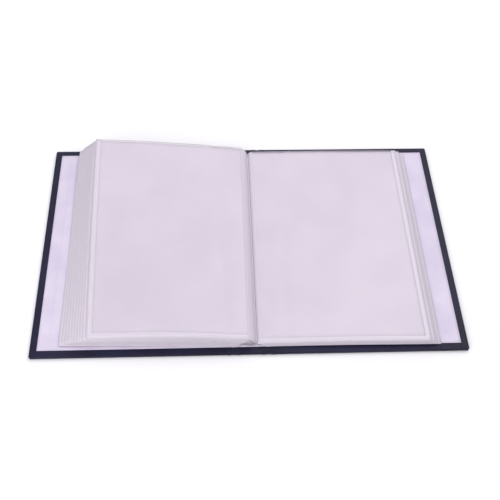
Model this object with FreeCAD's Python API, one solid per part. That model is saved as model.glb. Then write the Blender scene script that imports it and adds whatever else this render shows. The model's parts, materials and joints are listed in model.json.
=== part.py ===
import FreeCAD, Part
import os

# Pocket stamp album lying open on a table, in millimetres.
# Origin: middle of the spine on the face that rests on the table.
# +X towards the back cover (right), +Y towards the head of the pages, +Z up.

# covers
board_width = 162.0       # one cover, from its joint groove to its fore edge
board_height = 226.0      # head to tail
board_thick = 2.2         # grey board inside each cover and the spine
skin_thick = 0.4          # leatherette round the boards
turn_in = 14.0            # leatherette folded over onto the inside
liner_thick = 0.2         # white paper lining
liner_side = 6.0          # dark border left at the fore edge
liner_end = 6.0           # dark border left at head and tail
liner_joint = 0.5         # spine lining stops this far short of each joint
corner_radius = 1.5       # outer corners of the covers

# leaves
left_leaves = 10          # leaves turned over to the front cover's side
right_leaves = 4          # leaves still on the back cover's side
leaf_fore_margin = 23.1   # outermost leaf to the cover's fore edge
leaf_end_margin = 6.5     # leaves shorter than the covers, each end
film_thick = 0.15         # each wall of a clear pocket
pocket_gap = 0.3          # room between the two walls
sheet_thick = 0.2         # white sheet that each pocket holds
weld_fore = 3.5           # welded margin at the fore edge
weld_tail = 4.0           # welded margin at the tail
weld_root = 3.0           # welded margin beside the hinge
sheet_head = 2.0          # pocket left empty above the sheet
sheet_play = 0.6          # room round the sheet inside its pocket
fan_step_left = 0.5       # degrees that each left leaf lifts above the one below
fan_step_right = 0.15     # the same on the right, where the leaves lie flatter

# binding
root_gap = 1.0            # between neighbouring leaves when the album is shut
stack_gap = 0.3           # between neighbouring hinge lines as it lies open
hinge_clear = 0.8         # bare fold between a leaf and its tab
tab_thick = 0.3           # film tab that holds each leaf in the spine
tab_clear = 0.4           # tab top to hinge line
glue_height = 0.9         # glue bed that the tabs stand in
shut_gap = 0.65           # outer leaf to cover when the album is shut
spine_spare = 0.6         # spine wider than the row of leaves
skin_gap = 0.25           # each cloth edge to the fold it turns on
tab_inset = 3.0           # glue bed and tabs shorter than the leaves, each end

# worked out from the sizes above
leaf_thick = 2 * film_thick + pocket_gap
leaf_count = left_leaves + right_leaves
root_pitch = leaf_thick + root_gap
stack_pitch = leaf_thick + stack_gap
board_base = skin_thick
board_top = board_base + board_thick
turn_top = board_top + skin_thick
cover_top = turn_top + liner_thick
fold_z = skin_thick / 2
spine_width = leaf_count * root_pitch + spine_spare
groove_half = cover_top - fold_z + leaf_thick / 2 + shut_gap - root_pitch / 2 - spine_spare / 2
fold_x = spine_width / 2 + groove_half
cover_in = fold_x + groove_half
cover_out = cover_in + board_width
outer_root_x = root_pitch * (leaf_count - 1) / 2
leaf_width = cover_out - leaf_fore_margin - outer_root_x
leaf_height = board_height - 2 * leaf_end_margin
first_leaf_z = cover_top + stack_gap + leaf_thick / 2
tab_height = leaf_height - 2 * tab_inset


def box(x0, x1, y0, y1, z0, z1):
    return Part.makeBox(x1 - x0, y1 - y0, z1 - z0, FreeCAD.Vector(x0, y0, z0))


def mirrored(shape):
    """The same piece on the front cover's side."""
    return shape.mirror(FreeCAD.Vector(0, 0, 0), FreeCAD.Vector(1, 0, 0))


def round_outer_corners(shape, x, radius):
    """Rounds the upright edges at the two outer corners."""
    half = max(abs(v.Y) for v in shape.Vertexes)
    edges = []
    for edge in shape.Edges:
        first = edge.Vertexes[0]
        last = edge.Vertexes[-1]
        upright = abs(first.X - last.X) < 1e-6 and abs(first.Y - last.Y) < 1e-6
        at_corner = abs(first.X - x) < 1e-6 and abs(abs(first.Y) - half) < 1e-6
        if upright and at_corner:
            edges.append(edge)
    return shape.makeFillet(radius, edges)


def cover_board():
    half = board_height / 2 - skin_thick
    outer = cover_out - skin_thick
    plain = box(cover_in, outer, -half, half, board_base, board_top)
    return round_outer_corners(plain, outer, corner_radius - skin_thick)


def cover_skin():
    """Leatherette: outside sheet, three wrapped edges and their turn-ins, and half of the joint cloth."""
    half = board_height / 2
    wrap = box(cover_in, cover_out, -half, half, 0, turn_top)
    wrap = round_outer_corners(wrap, cover_out, corner_radius)
    wrap = wrap.cut(cover_board())
    window = box(
        cover_in - 1, cover_out - turn_in, turn_in - half, half - turn_in, board_top, turn_top + 1
    )
    joint_cloth = box(fold_x + skin_gap, cover_in, -half, half, 0, skin_thick)
    return wrap.cut(window).fuse(joint_cloth).removeSplitter()


def cover_liner():
    """Paper lining: it lies on the turn-ins and fills the window that they leave."""
    half = board_height / 2
    sheet = box(
        cover_in, cover_out - liner_side, liner_end - half, half - liner_end, turn_top, cover_top
    )
    well = box(
        cover_in, cover_out - turn_in, turn_in - half, half - turn_in, board_top, turn_top
    )
    return sheet.fuse(well).removeSplitter()


def spine_board():
    half = board_height / 2 - skin_thick
    return box(-spine_width / 2, spine_width / 2, -half, half, board_base, board_top)


def spine_skin():
    """Leatherette over the spine with its head and tail turned in, and half of each joint cloth."""
    half = board_height / 2
    reach = fold_x - skin_gap
    outside = box(-reach, reach, -half, half, 0, skin_thick)
    side = spine_width / 2
    pieces = []
    for end in (-1, 1):
        low, high = sorted((end * half, end * (half - skin_thick)))
        pieces.append(box(-side, side, low, high, 0, turn_top))
        low, high = sorted((end * half, end * (half - turn_in)))
        pieces.append(box(-side, side, low, high, board_top, turn_top))
    return outside.fuse(pieces).removeSplitter()


def spine_liner():
    """Paper lining over the spine, down between its turn-ins, clear of both joints as the album shuts."""
    half = board_height / 2
    side = spine_width / 2 - liner_joint
    sheet = box(-side, side, liner_end - half, half - liner_end, turn_top, cover_top)
    well = box(-side, side, turn_in - half, half - turn_in, board_top, turn_top)
    return sheet.fuse(well).removeSplitter()


def leaf_places():
    """Every leaf from the front cover to the back cover: number, side, hinge line and lift."""
    places = []
    for index in range(leaf_count):
        on_left = index < left_leaves
        level = index if on_left else leaf_count - 1 - index
        places.append({
            "name": f"leaf_{index + 1:02d}",
            "side": -1 if on_left else 1,
            "x": index * root_pitch - outer_root_x,
            "z": first_leaf_z + level * stack_pitch,
            "lift": level * (fan_step_left if on_left else fan_step_right),
        })
    return places


def laid_open(shape, place):
    """Takes a leaf drawn flat along +X from its hinge line to where it lies."""
    shape.rotate(FreeCAD.Vector(0, 0, 0), FreeCAD.Vector(0, 1, 0), -place["lift"])
    if place["side"] < 0:
        shape = mirrored(shape)
    shape.translate(FreeCAD.Vector(place["x"], 0, place["z"]))
    return shape


def leaf_pocket(place):
    """Two clear films welded along the fore edge, the tail and the root, open at the head."""
    half = leaf_height / 2
    films = box(hinge_clear, leaf_width, -half, half, -leaf_thick / 2, leaf_thick / 2)
    inside = box(
        hinge_clear + weld_root, leaf_width - weld_fore,
        weld_tail - half, half + 1,
        -pocket_gap / 2, pocket_gap / 2,
    )
    return laid_open(films.cut(inside), place)


def leaf_sheet(place):
    half = leaf_height / 2
    sheet = box(
        hinge_clear + weld_root + sheet_play, leaf_width - weld_fore - sheet_play,
        weld_tail + sheet_play - half, half - sheet_head,
        -sheet_thick / 2, sheet_thick / 2,
    )
    return laid_open(sheet, place)


def binding_tabs():
    """One upright film tab under each hinge line, standing on the spine."""
    half = tab_height / 2
    tabs = []
    for place in leaf_places():
        low = place["x"] - tab_thick / 2
        high = place["x"] + tab_thick / 2
        tabs.append(box(low, high, -half, half, cover_top, place["z"] - tab_clear))
    return Part.makeCompound(tabs)


def binding_glue():
    """Glue bed that fills the spaces between the feet of the tabs."""
    half = tab_height / 2
    reach = outer_root_x + tab_thick / 2
    bed = box(-reach, reach, -half, half, cover_top, cover_top + glue_height)
    return bed.cut(binding_tabs())


def main():
    os.makedirs("parts", exist_ok=True)
    nodes = {
        "back_cover_board": cover_board(),
        "back_cover_skin": cover_skin(),
        "back_cover_liner": cover_liner(),
        "front_cover_board": mirrored(cover_board()),
        "front_cover_skin": mirrored(cover_skin()),
        "front_cover_liner": mirrored(cover_liner()),
        "spine_board": spine_board(),
        "spine_skin": spine_skin(),
        "spine_liner": spine_liner(),
        "binding_tabs": binding_tabs(),
        "binding_glue": binding_glue(),
    }
    for place in leaf_places():
        nodes[place["name"] + "_pocket"] = leaf_pocket(place)
        nodes[place["name"] + "_sheet"] = leaf_sheet(place)
    for name, shape in nodes.items():
        if not shape.isValid():
            raise ValueError(name + " is not a valid shape")
        shape.exportStep("parts/" + name + ".step")
        print(f"{name}: {len(shape.Solids)} solids, {shape.Volume:.0f} cubic mm")
    print(f"open size {2 * cover_out:.1f} x {board_height:.1f}, spine {spine_width:.1f}")


main()
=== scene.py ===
import bpy
import bmesh
import json
import math
import random
from mathutils import Euler, Matrix, Vector, noise


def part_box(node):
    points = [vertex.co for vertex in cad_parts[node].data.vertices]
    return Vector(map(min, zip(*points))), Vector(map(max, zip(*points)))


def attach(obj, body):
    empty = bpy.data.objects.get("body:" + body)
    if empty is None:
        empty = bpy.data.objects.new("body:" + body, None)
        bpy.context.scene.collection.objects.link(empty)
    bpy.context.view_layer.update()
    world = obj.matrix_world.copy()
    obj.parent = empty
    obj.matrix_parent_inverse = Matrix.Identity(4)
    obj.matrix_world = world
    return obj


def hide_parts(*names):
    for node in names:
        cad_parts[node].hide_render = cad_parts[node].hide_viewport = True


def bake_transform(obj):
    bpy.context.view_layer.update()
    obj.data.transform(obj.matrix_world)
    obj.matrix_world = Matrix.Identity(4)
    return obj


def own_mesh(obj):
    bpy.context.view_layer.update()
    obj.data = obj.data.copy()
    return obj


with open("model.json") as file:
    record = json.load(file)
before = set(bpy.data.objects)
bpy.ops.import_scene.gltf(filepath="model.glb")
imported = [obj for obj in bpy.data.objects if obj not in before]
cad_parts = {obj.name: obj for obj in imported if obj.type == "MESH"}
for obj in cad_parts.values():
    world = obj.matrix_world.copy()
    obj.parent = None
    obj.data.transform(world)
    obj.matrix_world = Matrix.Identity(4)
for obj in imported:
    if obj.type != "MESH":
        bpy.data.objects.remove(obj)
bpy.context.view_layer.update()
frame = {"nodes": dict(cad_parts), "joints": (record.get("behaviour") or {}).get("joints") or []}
mm = 0.001
tiny = 1e-6   # metres: closer than this counts as level
print("frame loaded:", len(frame["nodes"]), "nodes")


def linearColour(hexText):
    def oneChannel(pair):
        value = int(pair, 16) / 255
        return value / 12.92 if value <= 0.04045 else ((value + 0.055) / 1.055) ** 2.4
    text = hexText.lstrip("#")
    return (oneChannel(text[0:2]), oneChannel(text[2:4]), oneChannel(text[4:6]), 1.0)


def addNode(material, kind, settings=None, links=None):
    # settings name sockets or properties, or give a ramp's stops as (position, colour);
    # links name sockets and take (node, output name)
    node = material.node_tree.nodes.new(kind)
    for key, value in (settings or {}).items():
        if key == "stops":
            for element, (position, colour) in zip(node.color_ramp.elements, value):
                element.position = position
                element.color = linearColour(colour)
        elif isinstance(key, int) or key in node.inputs:
            node.inputs[key].default_value = value
        else:
            setattr(node, key, value)
    for key, (source, output) in (links or {}).items():
        material.node_tree.links.new(source.outputs[output], node.inputs[key])
    return node


def newMaterial(name):
    material = bpy.data.materials.new(name)
    material.use_nodes = True
    material.node_tree.nodes.clear()
    return material


mottleStops = (0.35, 0.65)   # where a two-tone material turns from its dark to its light


def perMetre(sizeMm):
    # a texture scale that repeats about once in sizeMm millimetres
    return 1000.0 / sizeMm


def meshPiece(name, points, faces, materials, faceSlots=None, smooth=True):
    mesh = bpy.data.meshes.new(name)
    mesh.from_pydata(points, [], faces)
    for material in materials:
        mesh.materials.append(material)
    if faceSlots:
        mesh.polygons.foreach_set("material_index", faceSlots)
    mesh.polygons.foreach_set("use_smooth", [smooth] * len(faces))
    mesh.update()
    piece = bpy.data.objects.new(name, mesh)
    bpy.context.scene.collection.objects.link(piece)
    return piece


def closedSheet(name, rowsAlong, rowsAcross, topPoint, bottomPoint, materials, slotAt=None):
    # a closed thin solid from two point functions over the same grid
    points = []
    for surface in (topPoint, bottomPoint):
        for a in rowsAlong:
            for b in rowsAcross:
                points.append(surface(a, b))
    wide = len(rowsAcross)
    deep = len(rowsAlong)
    half = wide * deep
    faces = []
    slots = []

    def addFace(corners, slot):
        faces.append(corners)
        slots.append(slot)

    for i in range(deep - 1):
        for j in range(wide - 1):
            a = i * wide + j
            slot = slotAt((rowsAlong[i] + rowsAlong[i + 1]) / 2,
                          (rowsAcross[j] + rowsAcross[j + 1]) / 2) if slotAt else 0
            addFace((a, a + wide, a + wide + 1, a + 1), slot)
            addFace((half + a, half + a + 1, half + a + wide + 1, half + a + wide), slot)
    rimSlot = len(materials) - 1
    for i in range(deep - 1):
        a = i * wide
        addFace((a, half + a, half + a + wide, a + wide), rimSlot)
        a = i * wide + wide - 1
        addFace((a, a + wide, half + a + wide, half + a), rimSlot)
    for j in range(wide - 1):
        addFace((j, j + 1, half + j + 1, half + j), rimSlot)
        a = (deep - 1) * wide + j
        addFace((a, half + a, half + a + 1, a + 1), rimSlot)
    piece = meshPiece(name, points, faces, materials, slots)
    mesh = bmesh.new()
    mesh.from_mesh(piece.data)
    bmesh.ops.recalc_face_normals(mesh, faces=mesh.faces)
    mesh.to_mesh(piece.data)
    mesh.free()
    return piece


def evenSteps(low, high, stepSize):
    count = max(1, round((high - low) / stepSize))
    return [low + (high - low) * i / count for i in range(count + 1)]


def smoothStep(value, low, high):
    t = min(1.0, max(0.0, (value - low) / (high - low)))
    return t * t * (3 - 2 * t)


# PVC-coated book cloth, calendered with a fine leather grain: near-black navy, a dull
# sheen that breaks up in the grain, a little greyer where hands rub it
def makeLeatherette():
    cloth = {"grainMm": 1.5, "poreMm": 0.5, "mottleMm": 40, "dark": "#0f0d26", "light": "#1a1838"}
    material = newMaterial("leatheretteEmbossedNavy")
    place = addNode(material, "ShaderNodeTexCoord")
    grain = addNode(material, "ShaderNodeTexVoronoi",
                    {"feature": "DISTANCE_TO_EDGE", "Scale": perMetre(cloth["grainMm"])},
                    {"Vector": (place, "Object")})
    creases = addNode(material, "ShaderNodeMapRange", {"From Max": 0.18},
                      {"Value": (grain, "Distance")})
    pores = addNode(material, "ShaderNodeTexNoise",
                    {"Scale": perMetre(cloth["poreMm"]), "Detail": 3.0}, {"Vector": (place, "Object")})
    mottle = addNode(material, "ShaderNodeTexNoise",
                     {"Scale": perMetre(cloth["mottleMm"]), "Detail": 4.0},
                     {"Vector": (place, "Object")})
    tone = addNode(material, "ShaderNodeValToRGB",
                   {"stops": zip(mottleStops, (cloth["dark"], cloth["light"]))},
                   {"Fac": (mottle, "Fac")})
    height = addNode(material, "ShaderNodeMath", {"operation": "MULTIPLY_ADD", 1: 0.35},
                     {0: (pores, "Fac"), 2: (creases, "Result")})
    bump = addNode(material, "ShaderNodeBump", {"Strength": 0.55, "Distance": 0.00012},
                   {"Height": (height, "Value")})
    gloss = addNode(material, "ShaderNodeMapRange", {"To Min": 0.58, "To Max": 0.42},
                    {"Value": (creases, "Result")})
    shader = addNode(material, "ShaderNodeBsdfPrincipled", {"IOR": 1.5, "Specular IOR Level": 0.28},
                     {"Base Color": (tone, "Color"), "Roughness": (gloss, "Result"),
                      "Normal": (bump, "Normal")})
    addNode(material, "ShaderNodeOutputMaterial", links={"Surface": (shader, "BSDF")})
    return material


# grey book board, pressed from waste paper: flat, fibrous, flecked
def makeGreyBoard():
    board = {"fleckMm": 1.2, "fibreMm": 0.6, "dark": "#7d786f", "light": "#969086"}
    material = newMaterial("greyBoardPressed")
    place = addNode(material, "ShaderNodeTexCoord")
    flecks = addNode(material, "ShaderNodeTexNoise",
                     {"Scale": perMetre(board["fleckMm"]), "Detail": 6.0},
                     {"Vector": (place, "Object")})
    fibres = addNode(material, "ShaderNodeTexNoise",
                     {"Scale": perMetre(board["fibreMm"]), "Detail": 4.0},
                     {"Vector": (place, "Object")})
    tone = addNode(material, "ShaderNodeValToRGB",
                   {"stops": zip(mottleStops, (board["dark"], board["light"]))},
                   {"Fac": (flecks, "Fac")})
    bump = addNode(material, "ShaderNodeBump", {"Strength": 0.4, "Distance": 0.0001},
                   {"Height": (fibres, "Fac")})
    shader = addNode(material, "ShaderNodeBsdfPrincipled", {"Roughness": 0.92, "IOR": 1.5},
                     {"Base Color": (tone, "Color"), "Normal": (bump, "Normal")})
    addNode(material, "ShaderNodeOutputMaterial", links={"Surface": (shader, "BSDF")})
    return material


# uncoated lining paper, calendered smooth: cool white, very slightly cloudy, no gloss
def makeLiningPaper():
    paper = {"cloudMm": 22, "fibreMm": 0.7, "dark": "#cfc6da", "light": "#d9d0e2"}
    material = newMaterial("liningPaperUncoated")
    place = addNode(material, "ShaderNodeTexCoord")
    clouds = addNode(material, "ShaderNodeTexNoise",
                     {"Scale": perMetre(paper["cloudMm"]), "Detail": 5.0},
                     {"Vector": (place, "Object")})
    fibres = addNode(material, "ShaderNodeTexNoise",
                     {"Scale": perMetre(paper["fibreMm"]), "Detail": 5.0},
                     {"Vector": (place, "Object")})
    tone = addNode(material, "ShaderNodeValToRGB",
                   {"stops": zip(mottleStops, (paper["dark"], paper["light"]))},
                   {"Fac": (clouds, "Fac")})
    bump = addNode(material, "ShaderNodeBump", {"Strength": 0.25, "Distance": 0.00006},
                   {"Height": (fibres, "Fac")})
    shader = addNode(material, "ShaderNodeBsdfPrincipled", {"Roughness": 0.85, "IOR": 1.5},
                     {"Base Color": (tone, "Color"), "Normal": (bump, "Normal")})
    addNode(material, "ShaderNodeOutputMaterial", links={"Surface": (shader, "BSDF")})
    return material


# the white sheet in each pocket: bright smooth paper with faint laid lines across it,
# drawn at 1.6 mm because the real 0.8 mm lines are too fine to show
def makeWhiteSheet():
    sheet = {"laidMm": 1.6, "cloudMm": 35, "dark": "#d6ccd9", "light": "#dcd3de"}
    material = newMaterial("whiteSheetLaid")
    place = addNode(material, "ShaderNodeTexCoord")
    clouds = addNode(material, "ShaderNodeTexNoise",
                     {"Scale": perMetre(sheet["cloudMm"]), "Detail": 3.0},
                     {"Vector": (place, "Object")})
    # a wave texture repeats every 2 pi / 20 of its own unit
    laid = addNode(material, "ShaderNodeTexWave",
                   {"bands_direction": "Y", "Scale": perMetre(sheet["laidMm"]) * math.pi / 10,
                    "Distortion": 0.6, "Detail": 1.0},
                   {"Vector": (place, "Object")})
    tone = addNode(material, "ShaderNodeValToRGB",
                   {"stops": zip(mottleStops, (sheet["dark"], sheet["light"]))},
                   {"Fac": (clouds, "Fac")})
    bump = addNode(material, "ShaderNodeBump", {"Strength": 0.12, "Distance": 0.00004},
                   {"Height": (laid, "Fac")})
    shader = addNode(material, "ShaderNodeBsdfPrincipled", {"Roughness": 0.6, "IOR": 1.5},
                     {"Base Color": (tone, "Color"), "Normal": (bump, "Normal")})
    addNode(material, "ShaderNodeOutputMaterial", links={"Surface": (shader, "BSDF")})
    return material


# cast polypropylene film, clear: a thin cool veil with soft gloss and slight waves
def makeClearFilm():
    film = {"waveMm": 14, "veil": "#ddd5e0", "alpha": 0.3}
    material = newMaterial("polypropyleneFilmCast")
    place = addNode(material, "ShaderNodeTexCoord")
    waves = addNode(material, "ShaderNodeTexNoise",
                    {"Scale": perMetre(film["waveMm"]), "Detail": 2.0}, {"Vector": (place, "Object")})
    bump = addNode(material, "ShaderNodeBump", {"Strength": 0.35, "Distance": 0.0004},
                   {"Height": (waves, "Fac")})
    shader = addNode(material, "ShaderNodeBsdfPrincipled",
                     {"Base Color": linearColour(film["veil"]), "Roughness": 0.22, "IOR": 1.49,
                      "Specular IOR Level": 0.8, "Alpha": film["alpha"]},
                     {"Normal": (bump, "Normal")})
    addNode(material, "ShaderNodeOutputMaterial", links={"Surface": (shader, "BSDF")})
    return material


# the same film where heat has welded its two walls: milkier, with the tool's fine mesh
# pressed in, drawn at 0.9 mm because the real 0.4 mm mesh is too fine to show
def makeWeldedFilm():
    weld = {"meshMm": 0.9, "milk": "#d3cad6"}
    material = newMaterial("polypropyleneFilmWelded")
    place = addNode(material, "ShaderNodeTexCoord")
    press = addNode(material, "ShaderNodeTexVoronoi",
                    {"Scale": perMetre(weld["meshMm"]), "Randomness": 0.1},
                    {"Vector": (place, "Object")})
    bump = addNode(material, "ShaderNodeBump", {"Strength": 0.3, "Distance": 0.0001},
                   {"Height": (press, "Distance")})
    shader = addNode(material, "ShaderNodeBsdfPrincipled",
                     {"Base Color": linearColour(weld["milk"]), "Roughness": 0.35, "IOR": 1.49},
                     {"Normal": (bump, "Normal")})
    addNode(material, "ShaderNodeOutputMaterial", links={"Surface": (shader, "BSDF")})
    return material


# the dotted seam that the welding wheel leaves: solid fused film, white and shiny
# it also covers the film pockets' edge faces, where its white is partly a painted highlight
def makeWeldDotsAndEdgeHighlight():
    fused = {"unevenMm": 3, "dark": "#dcd4e0", "light": "#e9e3ec"}
    material = newMaterial("polypropyleneFusedDotsAndEdgeHighlight")
    place = addNode(material, "ShaderNodeTexCoord")
    uneven = addNode(material, "ShaderNodeTexNoise", {"Scale": perMetre(fused["unevenMm"])},
                     {"Vector": (place, "Object")})
    tone = addNode(material, "ShaderNodeValToRGB",
                   {"stops": zip(mottleStops, (fused["dark"], fused["light"]))},
                   {"Fac": (uneven, "Fac")})
    shader = addNode(material, "ShaderNodeBsdfPrincipled", {"Roughness": 0.3, "IOR": 1.49},
                     {"Base Color": (tone, "Color")})
    addNode(material, "ShaderNodeOutputMaterial", links={"Surface": (shader, "BSDF")})
    return material


# PVA binding glue, poured and set: milky white, waxy, softly lumpy
def makeGlue():
    glue = {"lumpMm": 4, "dark": "#d0c8d4", "light": "#dcd4e0"}
    material = newMaterial("pvaGluePoured")
    place = addNode(material, "ShaderNodeTexCoord")
    lumps = addNode(material, "ShaderNodeTexNoise", {"Scale": perMetre(glue["lumpMm"]), "Detail": 3.0},
                    {"Vector": (place, "Object")})
    tone = addNode(material, "ShaderNodeValToRGB",
                   {"stops": zip(mottleStops, (glue["dark"], glue["light"]))},
                   {"Fac": (lumps, "Fac")})
    bump = addNode(material, "ShaderNodeBump", {"Strength": 0.5, "Distance": 0.0003},
                   {"Height": (lumps, "Fac")})
    shader = addNode(material, "ShaderNodeBsdfPrincipled", {"Roughness": 0.4, "IOR": 1.48},
                     {"Base Color": (tone, "Color"), "Normal": (bump, "Normal")})
    addNode(material, "ShaderNodeOutputMaterial", links={"Surface": (shader, "BSDF")})
    return material


leatherette = makeLeatherette()
greyBoard = makeGreyBoard()
liningPaper = makeLiningPaper()
whiteSheet = makeWhiteSheet()
clearFilm = makeClearFilm()
weldedFilm = makeWeldedFilm()
weldDotsAndEdgeHighlight = makeWeldDotsAndEdgeHighlight()
bindingGlue = makeGlue()
print("materials made")


view = {"place": (-0.0292, -0.4447, 0.5887), "down": 53.26, "turn": 4.19, "roll": 2.52,
        "lens": 59.4}
camera = bpy.data.objects.new("camera", bpy.data.cameras.new("camera"))
bpy.context.scene.collection.objects.link(camera)
camera.data.lens = view["lens"]
camera.data.sensor_width = 36
camera.data.clip_start = 0.01
aim = Euler((math.radians(90 - view["down"]), 0, math.radians(-view["turn"]))).to_matrix().to_4x4()
camera.matrix_world = (Matrix.Translation(view["place"]) @ aim
                       @ Matrix.Rotation(math.radians(view["roll"]), 4, "Z"))
bpy.context.scene.camera = camera

studio = {"floorSize": 6.0, "floorDrop": 0.15 * mm, "floor": "#f6f5f6",
          "air": "#fbfaff", "airPower": 0.66}
floorMaterial = newMaterial("studioFloorPaper")
floorShader = addNode(floorMaterial, "ShaderNodeBsdfPrincipled",
                      {"Base Color": linearColour(studio["floor"]), "Roughness": 0.9})
addNode(floorMaterial, "ShaderNodeOutputMaterial", links={"Surface": (floorShader, "BSDF")})
halfFloor = studio["floorSize"] / 2
floorCorners = [(halfFloor * x, halfFloor * y, 0) for x, y in ((-1, -1), (1, -1), (1, 1), (-1, 1))]
floor = meshPiece("studioFloor", floorCorners, [(0, 1, 2, 3)], [floorMaterial])
floor.location.z = -studio["floorDrop"]

lamps = {
    "keyLamp": {"place": (0.55, 0.45, 1.15), "size": 0.9, "power": 5.7},
    "fillLamp": {"place": (-0.8, -0.5, 1.0), "size": 1.2, "power": 3.0},
    "frontLamp": {"place": (-0.6, -0.9, 0.5), "size": 0.9, "power": 4.7},
    "headLamp": {"place": (0.1, 1.1, 0.7), "size": 0.9, "power": 2.8},
}
for lampName, lamp in lamps.items():
    light = bpy.data.objects.new(lampName, bpy.data.lights.new(lampName, "AREA"))
    bpy.context.scene.collection.objects.link(light)
    light.data.energy = lamp["power"]
    light.data.size = lamp["size"]
    light.location = lamp["place"]
    light.rotation_euler = (-Vector(lamp["place"])).to_track_quat("-Z", "Y").to_euler()
world = bpy.data.worlds.new("studioWorld")
world.use_nodes = True
backdrop = world.node_tree.nodes["Background"]
backdrop.inputs["Color"].default_value = linearColour(studio["air"])
backdrop.inputs["Strength"].default_value = studio["airPower"]
bpy.context.scene.world = world
bpy.context.scene.view_settings.view_transform = "Standard"
print("camera, light and floor ready")


case = {"skin": 0.38, "edgeRound": 0.7, "cornerRound": 1.5, "turnIn": 14.0, "jointLip": 2.0}


def caseShell(name, node):
    # leatherette wrapped round a board: outside sheet, rounded edges and the turn-ins
    low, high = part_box(node + "_skin")
    boardLow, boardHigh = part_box(node + "_board")
    outward, inner, outer = 1, boardLow.x, high.x
    if node == "spine":
        outer = boardHigh.x
    elif high.x < 0:
        outward, inner, outer = -1, boardHigh.x, low.x
    xLow, xHigh = sorted((inner, outer))
    middleX = (xLow + xHigh) / 2
    mesh = bmesh.new()
    bmesh.ops.create_cube(mesh, size=1.0)
    for vertex in mesh.verts:
        vertex.co.x = xLow if vertex.co.x < 0 else xHigh
        vertex.co.y = low.y if vertex.co.y < 0 else high.y
        vertex.co.z = low.z if vertex.co.z < 0 else high.z
    if node != "spine":
        upright = [e for e in mesh.edges
                   if abs(e.verts[0].co.z - e.verts[1].co.z) > tiny
                   and abs(e.verts[0].co.x - outer) < tiny]
        bmesh.ops.bevel(mesh, geom=upright, offset=case["cornerRound"] * mm, segments=6,
                        affect="EDGES", profile=0.5)
    rim = [e for e in mesh.edges if abs(e.verts[0].co.z - e.verts[1].co.z) < tiny]
    bmesh.ops.bevel(mesh, geom=rim, offset=case["edgeRound"] * mm, segments=4,
                    affect="EDGES", profile=0.6)
    # the turn-ins: a ring from the rounded edge in to a straight window over the board
    top = max(mesh.faces, key=lambda f: f.calc_center_median().z * 1e3 + f.calc_area())
    outline = list(top.verts)
    inset = case["turnIn"] * mm
    lip = case["jointLip"] * mm
    foreIn = lip if node == "spine" else inset
    windowX = sorted((inner + outward * lip, outer - outward * foreIn))
    window = [mesh.verts.new((x, y, high.z))
              for x in windowX for y in (low.y + inset, high.y - inset)]
    bmesh.ops.delete(mesh, geom=[top], context="FACES_ONLY")
    nearest = [min(window, key=lambda w: (w.co.x > middleX) != (v.co.x > middleX) or
                   (w.co.y > 0) != (v.co.y > 0)) for v in outline]
    for i, vertex in enumerate(outline):
        after = (i + 1) % len(outline)
        corners = [vertex, outline[after], nearest[after]]
        if nearest[i] is not nearest[after]:
            corners.append(nearest[i])
        mesh.faces.new(corners)
    bmesh.ops.recalc_face_normals(mesh, faces=mesh.faces)
    data = bpy.data.meshes.new(name)
    mesh.to_mesh(data)
    mesh.free()
    for face in data.polygons:
        face.use_smooth = True
    data.materials.append(leatherette)
    piece = bpy.data.objects.new(name, data)
    bpy.context.scene.collection.objects.link(piece)
    wall = piece.modifiers.new("wall", "SOLIDIFY")
    wall.thickness = case["skin"] * mm
    wall.offset = -1
    piece.modifiers.new("shade", "WEIGHTED_NORMAL").keep_sharp = True
    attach(piece, node)
    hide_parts(node + "_skin")


def coverCadNode(name, material):
    slots = frame["nodes"][name].data.materials
    slots.clear()
    slots.append(material)


for node in ("front_cover", "back_cover", "spine"):
    caseShell(node + "Case", node)
    coverCadNode(node + "_board", greyBoard)


def foldPlace(foldJoint):
    # where a fold lies across the album, and which way its cover is from there
    fold = next(j for j in frame["joints"] if j["name"] == foldJoint)["pos_m"][0]
    return fold, 1 if fold > 0 else -1


def bendAcross(piece, coverNode, fold, outward):
    # the piece's placing is baked into its mesh; it does not bend
    if coverNode == "front_cover":
        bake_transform(piece)
    else:
        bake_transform(piece)


# cloth over each joint, pressed into a shallow groove
joint = {"lap": 2.5, "rise": 0.5, "thick": 0.34, "stepMm": 0.5, "proud": 0.06, "bend": 0.3,
         "endGap": 0.2, "lengthStepMm": 6, "lift": 0.02, "turnLift": 0.01, "turnProud": 0.03}


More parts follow.
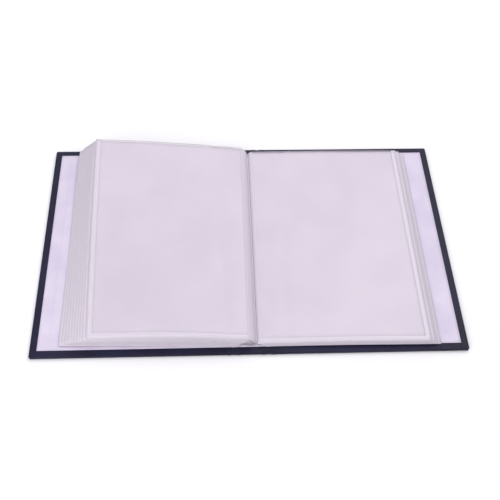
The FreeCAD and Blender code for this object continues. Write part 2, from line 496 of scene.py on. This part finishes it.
def jointCloth(name, coverNode, foldJoint):
    fold, outward = foldPlace(foldJoint)
    boardLow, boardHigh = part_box(coverNode + "_board")
    boardEdge = boardLow.x if outward > 0 else boardHigh.x
    halfGroove = abs(boardEdge - fold)
    low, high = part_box(coverNode + "_skin")
    reach = halfGroove + joint["lap"] * mm
    endGap = joint["endGap"] * mm
    across = evenSteps(-reach, reach, joint["stepMm"] * mm)
    along = evenSteps(low.y + endGap, high.y - endGap, joint["lengthStepMm"] * mm)

    def height(a):
        inGroove = max(0.0, 1 - (a / halfGroove) ** 2)
        return joint["rise"] * mm * math.sin(math.pi / 2 * inGroove) ** 2

    def topPoint(y, a):
        return (fold + outward * a, y, joint["thick"] * mm + height(a) + joint["lift"] * mm)

    def bottomPoint(y, a):
        return (fold + outward * a, y, height(a) + joint["lift"] * mm)

    piece = closedSheet(name, along, across, topPoint, bottomPoint, [leatherette])
    bendAcross(piece, coverNode, fold, outward)

    # the cloth turns in over the joint too, round the head and the tail
    def turnIn(endName, end):
        edge = end * (high.y + joint["proud"] * mm)
        bend = end * joint["bend"] * mm
        deep = end * (case["turnIn"] - 1) * mm

        def path(a, layer):
            # one surface of the turned cloth in section: layer 0 outside, 1 inside
            inset = layer * joint["thick"] * mm
            under = height(a) + joint["turnLift"] * mm + inset
            over = high.z + joint["turnProud"] * mm - height(a) - inset
            far = edge - end * inset
            return [(far - bend * 9, under), (far - bend, under), (far, under + abs(bend)),
                    (far, over - abs(bend)), (far - bend, over),
                    (edge - deep / 2, over), (edge - deep, over)]

        def surface(layer):
            return lambda step, a: (fold + outward * a, *path(a, layer)[step])

        pathSteps = list(range(len(path(0, 0))))
        wrap = closedSheet(name + endName, pathSteps, across, surface(0), surface(1), [leatherette])
        bendAcross(wrap, coverNode, fold, outward)

    turnIn("Head", 1)
    turnIn("Tail", -1)


jointCloth("frontJointCloth", "front_cover", "front_cover_fold")
jointCloth("backJointCloth", "back_cover", "spine_fold")

# lining paper: proud over the turn-ins, sunk a little where it meets the board
lining = {"sink": 0.3, "ramp": 2.0, "stepMm": 3.0, "wave": 0.05, "under": 0.01,
          "rampAt": (-1, -0.66, -0.33, 0, 0.33), "spineStepMm": 2, "spineEase": 6}


def liningSheet(name, node):
    low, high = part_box(node + "_liner")
    skinLow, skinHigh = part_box(node + "_skin")
    outward = 1 if low.x > 0 else -1
    turnTop = skinHigh.z
    ramp = lining["ramp"] * mm
    edgeIn = (skinHigh.x if outward > 0 else -skinLow.x) - case["turnIn"] * mm
    endIn = skinHigh.y - case["turnIn"] * mm
    xSteps = evenSteps(low.x, high.x, lining["stepMm"] * mm)
    xSteps += [outward * (edgeIn + ramp * k) for k in lining["rampAt"]]
    xSteps = sorted(set(round(x, 6) for x in xSteps))
    ySteps = evenSteps(low.y, high.y, lining["stepMm"] * mm)
    for end in (-1, 1):
        ySteps += [end * (endIn + ramp * k) for k in lining["rampAt"]]
    ySteps = sorted(set(round(y, 6) for y in ySteps))

    def sink(x, y):
        inside = smoothStep(edgeIn - outward * x, 0, ramp) * smoothStep(endIn - abs(y), 0, ramp)
        ripple = lining["wave"] * mm * noise.noise(Vector((x * 30, y * 30, 3 * outward)))
        return (lining["sink"] * mm + ripple) * inside

    def topPoint(x, y):
        return (x, y, high.z - sink(x, y))

    def bottomPoint(x, y):
        return (x, y, turnTop - sink(x, y) + lining["under"] * mm)

    piece = closedSheet(name, xSteps, ySteps, topPoint, bottomPoint, [liningPaper])
    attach(piece, node)
    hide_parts(node + "_liner")


liningSheet("frontLining", "front_cover")
liningSheet("backLining", "back_cover")

# the same paper carries on over each joint, lying down into the groove, and over the spine
hingePaper = {"lap": 1.5, "dip": 0.5, "thick": 0.16, "stepMm": 0.5, "lengthStepMm": 5,
              "proud": 0.03}


def hingeLining(name, coverNode, foldJoint):
    fold, outward = foldPlace(foldJoint)
    low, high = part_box(coverNode + "_liner")
    edge = low.x if outward > 0 else high.x
    halfGroove = abs(edge - fold)
    reach = halfGroove + hingePaper["lap"] * mm
    top = high.z + hingePaper["proud"] * mm

    def height(a):
        share = min(1, abs(a) / halfGroove)
        return top - hingePaper["dip"] * mm * math.cos(math.pi / 2 * share) ** 2

    def topPoint(y, a):
        return (fold + outward * a, y, height(a))

    def bottomPoint(y, a):
        return (fold + outward * a, y, height(a) - hingePaper["thick"] * mm)

    along = evenSteps(low.y, high.y, hingePaper["lengthStepMm"] * mm)
    across = evenSteps(-reach, reach, hingePaper["stepMm"] * mm)
    piece = closedSheet(name, along, across, topPoint, bottomPoint, [liningPaper])
    bendAcross(piece, coverNode, fold, outward)


hingeLining("frontHingeLining", "front_cover", "front_cover_fold")
hingeLining("backHingeLining", "back_cover", "spine_fold")


def spineLining():
    low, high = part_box("spine_liner")
    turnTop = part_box("spine_skin")[1].z
    endIn = high.y - case["turnIn"] * mm + lining["spineEase"] * mm
    step = lining["spineStepMm"] * mm

    def sink(y):
        return lining["sink"] * mm * smoothStep(endIn - abs(y), 0, lining["ramp"] * mm)

    def topPoint(x, y):
        return (x, y, high.z - sink(y))

    def bottomPoint(x, y):
        return (x, y, turnTop + lining["under"] * mm - sink(y))

    xSteps = evenSteps(low.x, high.x, step)
    ySteps = evenSteps(low.y, high.y, step)
    piece = closedSheet("spineLining", xSteps, ySteps, topPoint, bottomPoint, [liningPaper])
    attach(piece, "spine")
    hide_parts("spine_liner")


spineLining()
coverCadNode("binding_glue", bindingGlue)
print("covers and spine made")


leaf = {
    "rootZ": 4.0,            # where a leaf leaves the glue bed
    "rootZoneFirst": 1.6,    # length of the bare root of the lowest leaf
    "rootZoneStep": 0.9,     # each leaf above has this much more
    "rootSteepness": 2.6,    # how sharply a root turns over at its top
    "rootShare": 0.6,        # share of the root zone that is bare film
    "rootKeep": 0.06,        # share of a root's reach that is left when the album is shut
    "flatKeep": 0.05,        # the same for the waves and the lift of a leaf
    "wall": 0.15,            # each film
    "puff": 0.16,            # pocket thicker than a weld by this
    "sheetThick": 0.2,
    "sheetStart": 0.4,       # the white sheet starts this far past the bare root
    "seamEase": 10.0,        # width over which a pocket opens from its weld
    "weldLap": 0.3,          # weld over the sheet's edge, where the film clings to it
    "gutterLean": 0.62,      # how far the two top leaves lean together over the gutter
    "slide": 0.5,            # how far a leaf may sit out towards the head or the tail
    "gridD": 3.2,            # mesh steps from the hinge outwards, and along the hinge
    "gridY": 4.2,
    "rootStep": 0.6,         # finer steps over the curve of the root
    "rootRows": 15,
}

# the dotted weld line: pitch, size of one dot, and how far it stands proud of the film
dot = {"pitch": 2.6, "long": 1.3, "wide": 0.55, "proud": 0.07, "shrink": 0.7,
       "start": 1.5, "offCentre": 0.3, "headGap": 2}

leafTurns = {j["name"][:-len("_turn")]: j for j in frame["joints"] if j["name"].startswith("leaf_")}
leafCount = len(leafTurns)
leftCount = sum(1 for turn in leafTurns.values() if turn["axis"][1] > 0)
stackCount = {-1: leftCount, 1: leafCount - leftCount}

# how the two stacks lie, -1 on the left and 1 on the right, lowest leaf first, all in
# millimetres; a leaf never lifts less than the one below it
stack = {
    # reach that each leaf loses to its bend over the ones below
    "curl": {-1: [0, 0.7, 1.4, 2.0, 2.6, 3.2, 3.7, 4.2, 4.6, 6.0], 1: [0, 1.2, 1.6, 3.2]},
    # how far its fore edge springs up off its neighbours, and how much its middle swells
    "spring": {-1: [0.3, 0.3, 0.4, 0.4, 0.5, 0.5, 0.6, 0.7, 0.8, 1.6], 1: [0.2, 0.3, 0.5, 0.7]},
    "swell": {-1: 1.6, 1: 0.7},
    # each stack sits a little out of square with the case
    "skew": {-1: 3.0, 1: -1.5},
    "slant": {-1: 3.5, 1: 0},
    # the left leaves lie close at the tail and stand open at the head
    "twistEven": 4.2, "twistLower": 6.2, "firstLift": 2.5,
}

# slow and quick waves in the film, stronger in the two top leaves, which also have one
# soft crease near the gutter; heights are in millimetres and counts are for each metre
waves = {"slow": 0.22, "slowAlong": 14, "slowAcross": 9, "quick": 0.10, "quickAlong": 45,
         "quickAcross": 16, "topMore": 1.9, "crease": 0.45, "creaseAt": 27, "creaseSlope": 30,
         "creaseWide": 4.5, "ripple": 0.3, "rippleSlope": 0.35, "rippleCount": 240}


def leafFacts(index):
    name = f"leaf_{index:02d}"
    turn = leafTurns[name]
    low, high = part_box(name + "_pocket")
    sheetLow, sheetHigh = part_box(name + "_sheet")
    outward = 1 if turn["axis"][1] < 0 else -1
    lift = math.radians(90 - turn["range_deg"][1])
    level = index - 1 if outward < 0 else leafCount - index
    hinge = Vector(turn["pos_m"])
    zone = (leaf["rootZoneFirst"] + leaf["rootZoneStep"] * level) * mm
    far = abs((high.x if outward > 0 else low.x) - hinge.x) / math.cos(lift)
    sheetFar = abs((sheetHigh.x if outward > 0 else sheetLow.x) - hinge.x) / math.cos(lift)
    lost = stack["curl"][outward][level] * mm
    chance = random.Random(100 + index)
    return {
        "name": name, "hinge": hinge, "outward": outward, "lift": lift, "level": level,
        "top": level == stackCount[outward] - 1,
        "zone": zone, "bare": zone * leaf["rootShare"],
        "reach": far - lost, "sheetFore": sheetFar - lost,
        "sheetTail": sheetLow.y, "sheetHead": sheetHigh.y,
        "half": high.y,
        "along": Vector((outward * math.cos(lift), 0, math.sin(lift))),
        "up": Vector((-outward * math.sin(lift), 0, math.cos(lift))),
        "drop": hinge.z - leaf["rootZ"] * mm,
        "slide": chance.uniform(-leaf["slide"], leaf["slide"]) * mm,
        "phase": chance.uniform(0, 20),
    }


def bulge(facts, d, y):
    # height of a leaf's middle above its flat plane
    zone = facts["zone"]
    if d <= zone:
        return -facts["drop"] * (1 - d / zone) ** leaf["rootSteepness"]
    t = (d - zone) / (facts["reach"] - zone)
    share = (facts["level"] + 1) / stackCount[facts["outward"]]
    swell = stack["swell"][facts["outward"]] * share
    height = swell * math.sin(math.pi * min(1.0, t * 1.05)) * (1 - 0.35 * t)
    height += stack["spring"][facts["outward"]][facts["level"]] * t ** 2.2
    eased = smoothStep(t, 0, 0.15)
    slowPlace = Vector((d * waves["slowAlong"], y * waves["slowAcross"], facts["phase"]))
    quickPlace = Vector((d * waves["quickAlong"], y * waves["quickAcross"], facts["phase"] + 7))
    wave = waves["slow"] * noise.noise(slowPlace) + waves["quick"] * noise.noise(quickPlace)
    headward = y / facts["half"]
    if facts["outward"] < 0:
        rank = facts["level"] / (leftCount - 1)
        twist = stack["twistEven"] * headward - stack["twistLower"] * headward ** 2
        height += t ** 1.6 * rank * twist
        height += t ** 2 * (1 - rank) * stack["firstLift"] * smoothStep(headward, -0.3, 1)
    if facts["top"]:
        fromCrease = (d / mm - waves["creaseAt"] - waves["creaseSlope"] * y) / waves["creaseWide"]
        wave = wave * waves["topMore"] - waves["crease"] * math.exp(-fromCrease ** 2)
        if facts["outward"] < 0:
            ripple = smoothStep(t, 0.6, 0.95) * (1 - smoothStep(headward, 0.2, 1))
            turns = (d * waves["rippleSlope"] + y) * waves["rippleCount"]
            wave += waves["ripple"] * math.sin(turns) * ripple
    return (height + wave * eased) * mm


def leafPoint(facts, d, y, rise):
    # the two top leaves lean together at their roots, closing the gutter to a slit
    lean = 0
    if facts["top"] and d < facts["zone"]:
        lean = -facts["outward"] * leaf["gutterLean"] * mm * (1 - d / facts["zone"]) ** 2
    t = max(0, (d - facts["zone"]) / (facts["reach"] - facts["zone"]))
    height = bulge(facts, d, y) + rise
    shift = Vector((lean, y + stack["skew"][facts["outward"]] * mm * t, 0))
    rank = facts["level"] / (leftCount - 1)
    outAtHead = stack["slant"][facts["outward"]] * mm * rank * y / facts["half"] * t
    return facts["hinge"] + facts["along"] * (d + outAtHead) + facts["up"] * height + shift


def pocketPuff(facts, d, y):
    # how far apart the two films stand: shut at the welds, open over the sheet
    ease = leaf["seamEase"] * mm
    foreIn = facts["sheetFore"] + leaf["weldLap"] * mm - d
    rootIn = d - facts["bare"]
    tailIn = y - facts["sheetTail"] + leaf["weldLap"] * mm
    opened = min(smoothStep(gap, 0, ease) for gap in (foreIn, rootIn, tailIn))
    return (leaf["wall"] + leaf["puff"] / 2 * opened) * mm


def makeRoot(facts):
    steps = evenSteps(0, facts["bare"], min(leaf["rootStep"] * mm, facts["bare"] / 4))
    ySteps = evenSteps(-facts["half"], facts["half"], leaf["gridY"] * mm)
    ySteps = [y + facts["slide"] for y in ySteps]
    wall = leaf["wall"] * mm

    def slopeNormal(d):
        power = leaf["rootSteepness"]
        slope = power * facts["drop"] / facts["zone"] * (1 - d / facts["zone"]) ** (power - 1)
        length = math.hypot(1, slope)
        return facts["up"] * (1 / length) - facts["along"] * (slope / length)

    # thinner towards its end, where it dives into the pocket's own root
    def side(sign):
        def point(d, y):
            thin = 1 - 0.5 * (d / facts["bare"]) ** 4
            return leafPoint(facts, d, y, 0) + slopeNormal(d) * (sign * wall * thin)
        return point

    piece = closedSheet(facts["name"] + "_root", steps, ySteps, side(1), side(-1), [weldedFilm])
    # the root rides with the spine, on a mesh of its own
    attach(piece, "spine")
    tuple(facts["hinge"])
    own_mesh(piece)


def rideLeaf(piece, facts):
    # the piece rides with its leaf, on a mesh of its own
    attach(piece, facts["name"])
    tuple(facts["up"])
    tuple(facts["hinge"])
    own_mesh(piece)


def makePocket(facts):
    ease = leaf["seamEase"] * mm
    lap = leaf["weldLap"] * mm
    margins = [facts["zone"] * k / leaf["rootRows"] for k in range(leaf["rootRows"])]
    margins += [facts["bare"] + 2 * lap] + [facts["zone"] + ease * k for k in (0.25, 0.5, 0.75)]
    margins += [facts["sheetFore"] - max(lap, ease * k) for k in (0, 0.25, 0.5, 0.75, 1)]
    steps = evenSteps(facts["zone"], facts["reach"], leaf["gridD"] * mm) + margins
    steps = sorted(set(round(d, 6) for d in steps))
    ends = [facts["sheetTail"] + max(lap, ease * k) for k in (0, 0.25, 0.5, 0.75, 1)]
    ySteps = evenSteps(-facts["half"], facts["half"], leaf["gridY"] * mm) + ends
    ySteps = sorted(set(round(y, 6) for y in ySteps))

    def side(sign):
        return lambda d, y: leafPoint(facts, d, y + facts["slide"], sign * pocketPuff(facts, d, y))

    def slotAt(d, y):
        inD = facts["bare"] + 2 * lap < d < facts["sheetFore"] - lap
        return 0 if inD and y > facts["sheetTail"] + lap else 1

    # the last slot, the whiter fused film, covers the pocket's edge faces: partly the fused edge's own
    # white, partly a painted highlight that lifts the shaded stair of fore edges
    piece = closedSheet(facts["name"] + "_film", steps, ySteps, side(1), side(-1),
                        [clearFilm, weldedFilm, weldDotsAndEdgeHighlight], slotAt)
    rideLeaf(piece, facts)
    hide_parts(facts["name"] + "_pocket")


def makeSheet(facts):
    halfThick = leaf["sheetThick"] / 2 * mm

    def side(sign):
        return lambda d, y: leafPoint(facts, d, y + facts["slide"], sign * halfThick)

    steps = evenSteps(facts["bare"] + leaf["sheetStart"] * mm, facts["zone"], leaf["rootStep"] * mm)
    steps += evenSteps(facts["zone"], facts["sheetFore"], leaf["gridD"] * mm)[1:]
    ySteps = evenSteps(facts["sheetTail"], facts["sheetHead"], leaf["gridY"] * mm)
    piece = closedSheet(facts["name"] + "_insert", steps, ySteps, side(1), side(-1), [whiteSheet])
    rideLeaf(piece, facts)
    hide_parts(facts["name"] + "_sheet")


def makeDots(facts):
    # the dotted weld line along the tail and the fore edge, proud of both films
    seats = []
    foreLine = (facts["sheetFore"] + facts["reach"]) / 2 + dot["offCentre"] * mm
    tailLine = (facts["sheetTail"] - facts["half"]) / 2 - dot["offCentre"] * mm
    for d in evenSteps(facts["zone"] + dot["start"] * mm, foreLine, dot["pitch"] * mm):
        seats.append((d, tailLine, True))
    for y in evenSteps(tailLine, facts["half"] - dot["headGap"] * mm, dot["pitch"] * mm)[1:]:
        seats.append((foreLine, y, False))
    points = []
    faces = []
    for d, y, alongD in seats:
        halfD = (dot["long"] if alongD else dot["wide"]) / 2 * mm
        halfY = (dot["wide"] if alongD else dot["long"]) / 2 * mm
        base = len(points)
        for shrink, rise in ((1.0, 0.0), (dot["shrink"], dot["proud"])):
            for sign in (-1, 1):
                height = sign * (leaf["wall"] + rise) * mm
                for a, b in ((-1, -1), (1, -1), (1, 1), (-1, 1)):
                    cornerY = y + b * halfY * shrink + facts["slide"]
                    points.append(leafPoint(facts, d + a * halfD * shrink, cornerY, height))
        # each dot: lower rim, upper rim, lower cap, upper cap
        lowRim, highRim, lowCap, highCap = (base + 4 * k for k in range(4))
        for rimStart, otherStart in ((lowRim, highRim), (highRim, highCap), (lowCap, lowRim)):
            for k in range(4):
                n = (k + 1) % 4
                faces.append((rimStart + k, rimStart + n, otherStart + n, otherStart + k))
        faces.append(tuple(highCap + k for k in range(4)))
        faces.append(tuple(lowCap + k for k in (3, 2, 1, 0)))
    piece = meshPiece(facts["name"] + "_weld", points, faces, [weldDotsAndEdgeHighlight], smooth=False)
    rideLeaf(piece, facts)


for index in range(1, leafCount + 1):
    facts = leafFacts(index)
    makeRoot(facts)
    makePocket(facts)
    makeSheet(facts)
    makeDots(facts)
print("leaves made:", leafCount)

# the feet of the leaves, standing in the glue
stub = {"top": 4.2, "thick": 0.3, "rib": 0.06, "ribTurn": 1.1, "stepMm": 3}


def makeStubs():
    low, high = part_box("binding_tabs")
    half = stub["thick"] / 2 * mm
    top = stub["top"] * mm
    ySteps = evenSteps(low.y, high.y, stub["stepMm"] * mm)
    rows = len(ySteps)
    points = []
    faces = []
    for index in range(1, leafCount + 1):
        x = leafFacts(index)["hinge"].x
        for y in ySteps:
            rib = stub["rib"] * mm * math.sin(y / mm * stub["ribTurn"])
            for dx, z in ((-half, low.z), (-half + rib, top), (half + rib, top), (half, low.z)):
                points.append((x + dx, y, z))
        base = (index - 1) * rows * 4
        for r in range(rows - 1):
            a = base + r * 4
            for k in range(4):
                n = (k + 1) % 4
                faces.append((a + k, a + n, a + 4 + n, a + 4 + k))
        faces.append((base, base + 3, base + 2, base + 1))
        end = base + (rows - 1) * 4
        faces.append((end, end + 1, end + 2, end + 3))
    piece = meshPiece("bindingStubs", points, faces, [weldedFilm], smooth=False)
    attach(piece, "spine")
    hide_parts("binding_tabs")


makeStubs()
print("binding made")
